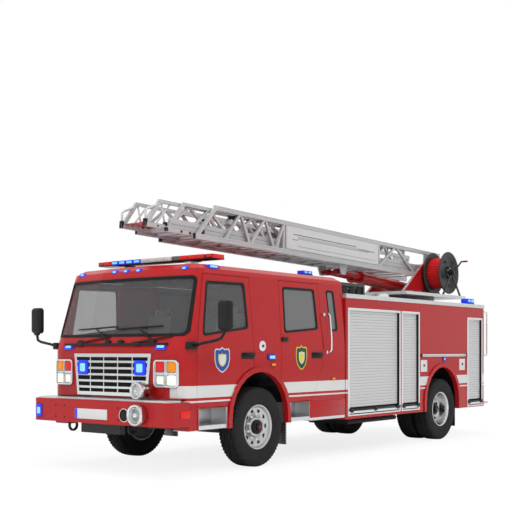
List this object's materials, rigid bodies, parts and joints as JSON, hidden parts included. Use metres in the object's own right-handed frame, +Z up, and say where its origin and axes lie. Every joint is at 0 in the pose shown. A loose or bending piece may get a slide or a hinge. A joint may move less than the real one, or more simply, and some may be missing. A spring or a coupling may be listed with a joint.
{
  "type": "fire engine",
  "caption": "Aerial ladder fire engine with a four door crew cab, roller shutter lockers, slewing turntable, raising and extending ladder, hose reel and twin rear wheels.",
  "frame": {"origin": "on the ground below the middle of the bounding box", "axes": "+X towards the vehicle's front, +Y to its left, +Z up"},
  "size_m": [9.02, 3.69, 3.6008],
  "materials": {
    "red_paint": "gloss",
    "black_plastic": "satin",
    "chassis_black": "matt",
    "glass": "gloss",
    "chrome": "polished",
    "tread_plate": "satin",
    "ladder_silver": "satin",
    "shutter_aluminium": "satin",
    "wheel_silver": "satin",
    "tyre_rubber": "matt",
    "cast_iron": "matt",
    "seat_fabric": "matt",
    "lamp_red": "gloss",
    "reel_red": "gloss"
  },
  "bodies": {
    "vehicle": {"cab_shell": "red_paint", "front_bumper": "red_paint", "body_shell": "red_paint", "dashboard": "black_plastic", "wipers": "black_plastic", "mirror_left": "black_plastic", "mirror_right": "black_plastic", "chassis_frame": "chassis_black", "cab_steps": "chassis_black", "windshield": "glass", "quarter_glass_left": "glass", "quarter_glass_right": "glass", "speaker": "chrome", "siren": "chrome", "grille": "chrome", "headlight_left": "chrome", "headlight_right": "chrome", "body_deck": "tread_plate", "rear_step": "tread_plate", "shutters_left_front": "shutter_aluminium", "shutters_left_rear": "shutter_aluminium", "shutters_right_front": "shutter_aluminium", "shutters_right_rear": "shutter_aluminium", "shutter_rear": "shutter_aluminium", "drivetrain": "cast_iron", "front_axle": "cast_iron", "rear_axle": "cast_iron", "seat_driver": "seat_fabric", "seat_officer": "seat_fabric", "seat_rear_bench": "seat_fabric", "lightbar": "lamp_red"},
    "steer_left": {"knuckle_left": "cast_iron"},
    "steer_right": {"knuckle_right": "cast_iron"},
    "wheel_front_left": {"tyre_front_left": "tyre_rubber", "rim_front_left": "wheel_silver"},
    "wheel_front_right": {"tyre_front_right": "tyre_rubber", "rim_front_right": "wheel_silver"},
    "wheel_rear_left": {"tyre_rear_left_outer": "tyre_rubber", "tyre_rear_left_inner": "tyre_rubber", "rim_rear_left": "wheel_silver"},
    "wheel_rear_right": {"tyre_rear_right_outer": "tyre_rubber", "tyre_rear_right_inner": "tyre_rubber", "rim_rear_right": "wheel_silver"},
    "steering": {"steering_wheel": "black_plastic"},
    "door_front_left": {"door_front_left": "red_paint", "glass_front_left": "glass"},
    "door_front_right": {"door_front_right": "red_paint", "glass_front_right": "glass"},
    "door_rear_left": {"door_rear_left": "red_paint", "glass_rear_left": "glass"},
    "door_rear_right": {"door_rear_right": "red_paint", "glass_rear_right": "glass"},
    "slew": {"turntable": "red_paint"},
    "boom_base": {"ladder_base": "ladder_silver"},
    "boom_mid": {"ladder_mid": "ladder_silver"},
    "boom_fly": {"ladder_fly": "ladder_silver"},
    "lift_cylinders": {"lift_barrels": "red_paint"},
    "lift_rods": {"lift_rods": "chrome"},
    "reel": {"reel": "reel_red"}
  },
  "joints": [
    {"name": "steer_left", "type": "hinge", "parent": "vehicle", "child": "steer_left", "pos_m": [2.62, 0.9, 0.535], "axis": [0, 0, 1], "range_deg": [-32, 32]},
    {"name": "steer_right", "type": "hinge", "parent": "vehicle", "child": "steer_right", "pos_m": [2.62, -0.9, 0.535], "axis": [0, 0, 1], "range_deg": [-32, 32]},
    {"name": "wheel_front_left", "type": "hinge", "parent": "steer_left", "child": "wheel_front_left", "pos_m": [2.62, 1.09, 0.535], "axis": [0, 1, 0], "continuous": true},
    {"name": "wheel_front_right", "type": "hinge", "parent": "steer_right", "child": "wheel_front_right", "pos_m": [2.62, -1.09, 0.535], "axis": [0, 1, 0], "continuous": true},
    {"name": "wheel_rear_left", "type": "hinge", "parent": "vehicle", "child": "wheel_rear_left", "pos_m": [-2.57, 1.09, 0.535], "axis": [0, 1, 0], "continuous": true},
    {"name": "wheel_rear_right", "type": "hinge", "parent": "vehicle", "child": "wheel_rear_right", "pos_m": [-2.57, -1.09, 0.535], "axis": [0, 1, 0], "continuous": true},
    {"name": "steering_wheel", "type": "hinge", "parent": "vehicle", "child": "steering", "pos_m": [3.36, 0.62, 1.66], "axis": [-0.6157, 0, 0.788], "range_deg": [-576, 576]},
    {"name": "door_front_left", "type": "hinge", "parent": "vehicle", "child": "door_front_left", "pos_m": [3.885, 1.254, 0.85], "axis": [0, 0, -1], "range_deg": [0, 75]},
    {"name": "door_front_right", "type": "hinge", "parent": "vehicle", "child": "door_front_right", "pos_m": [3.885, -1.254, 0.85], "axis": [0, 0, 1], "range_deg": [0, 75]},
    {"name": "door_rear_left", "type": "hinge", "parent": "vehicle", "child": "door_rear_left", "pos_m": [2.145, 1.254, 0.85], "axis": [0, 0, -1], "range_deg": [0, 75]},
    {"name": "door_rear_right", "type": "hinge", "parent": "vehicle", "child": "door_rear_right", "pos_m": [2.145, -1.254, 0.85], "axis": [0, 0, 1], "range_deg": [0, 75]},
    {"name": "slew", "type": "hinge", "parent": "vehicle", "child": "slew", "pos_m": [-3.03, 0, 2.5453], "axis": [0, 0, 1], "continuous": true},
    {"name": "elevation", "type": "hinge", "parent": "slew", "child": "boom_base", "pos_m": [-3.73, 0, 3.17], "axis": [0, -1, 0], "range_deg": [0, 68]},
    {"name": "mid_slide", "type": "slide", "parent": "boom_base", "child": "boom_mid", "axis": [0.9997, 0, 0.0244], "range_m": [0, 4.4]},
    {"name": "fly_slide", "type": "slide", "parent": "boom_mid", "child": "boom_fly", "axis": [0.9997, 0, 0.0244], "range_m": [0, 4.4]},
    {"name": "lift_foot", "type": "hinge", "parent": "slew", "child": "lift_cylinders", "pos_m": [-3.38, 0, 2.755], "axis": [0, -1, 0], "range_deg": [0, 70]},
    {"name": "lift_rod", "type": "slide", "parent": "lift_cylinders", "child": "lift_rods", "axis": [0.9982, 0, 0.0603], "range_m": [0, 0.6]},
    {"name": "reel", "type": "hinge", "parent": "slew", "child": "reel", "pos_m": [-3.73, 0.6225, 3.02], "axis": [0, 1, 0], "continuous": true}
  ],
  "couplings": [
    {"joint": "steer_right", "follows": "steer_left", "ratio": 1},
    {"joint": "steering_wheel", "follows": "steer_left", "ratio": 18},
    {"joint": "fly_slide", "follows": "mid_slide", "ratio": 1},
    {"joint": "lift_foot", "follows": "elevation", "ratio": 1.015},
    {"joint": "lift_rod", "follows": "elevation", "m_per_rad": 0.5}
  ]
}
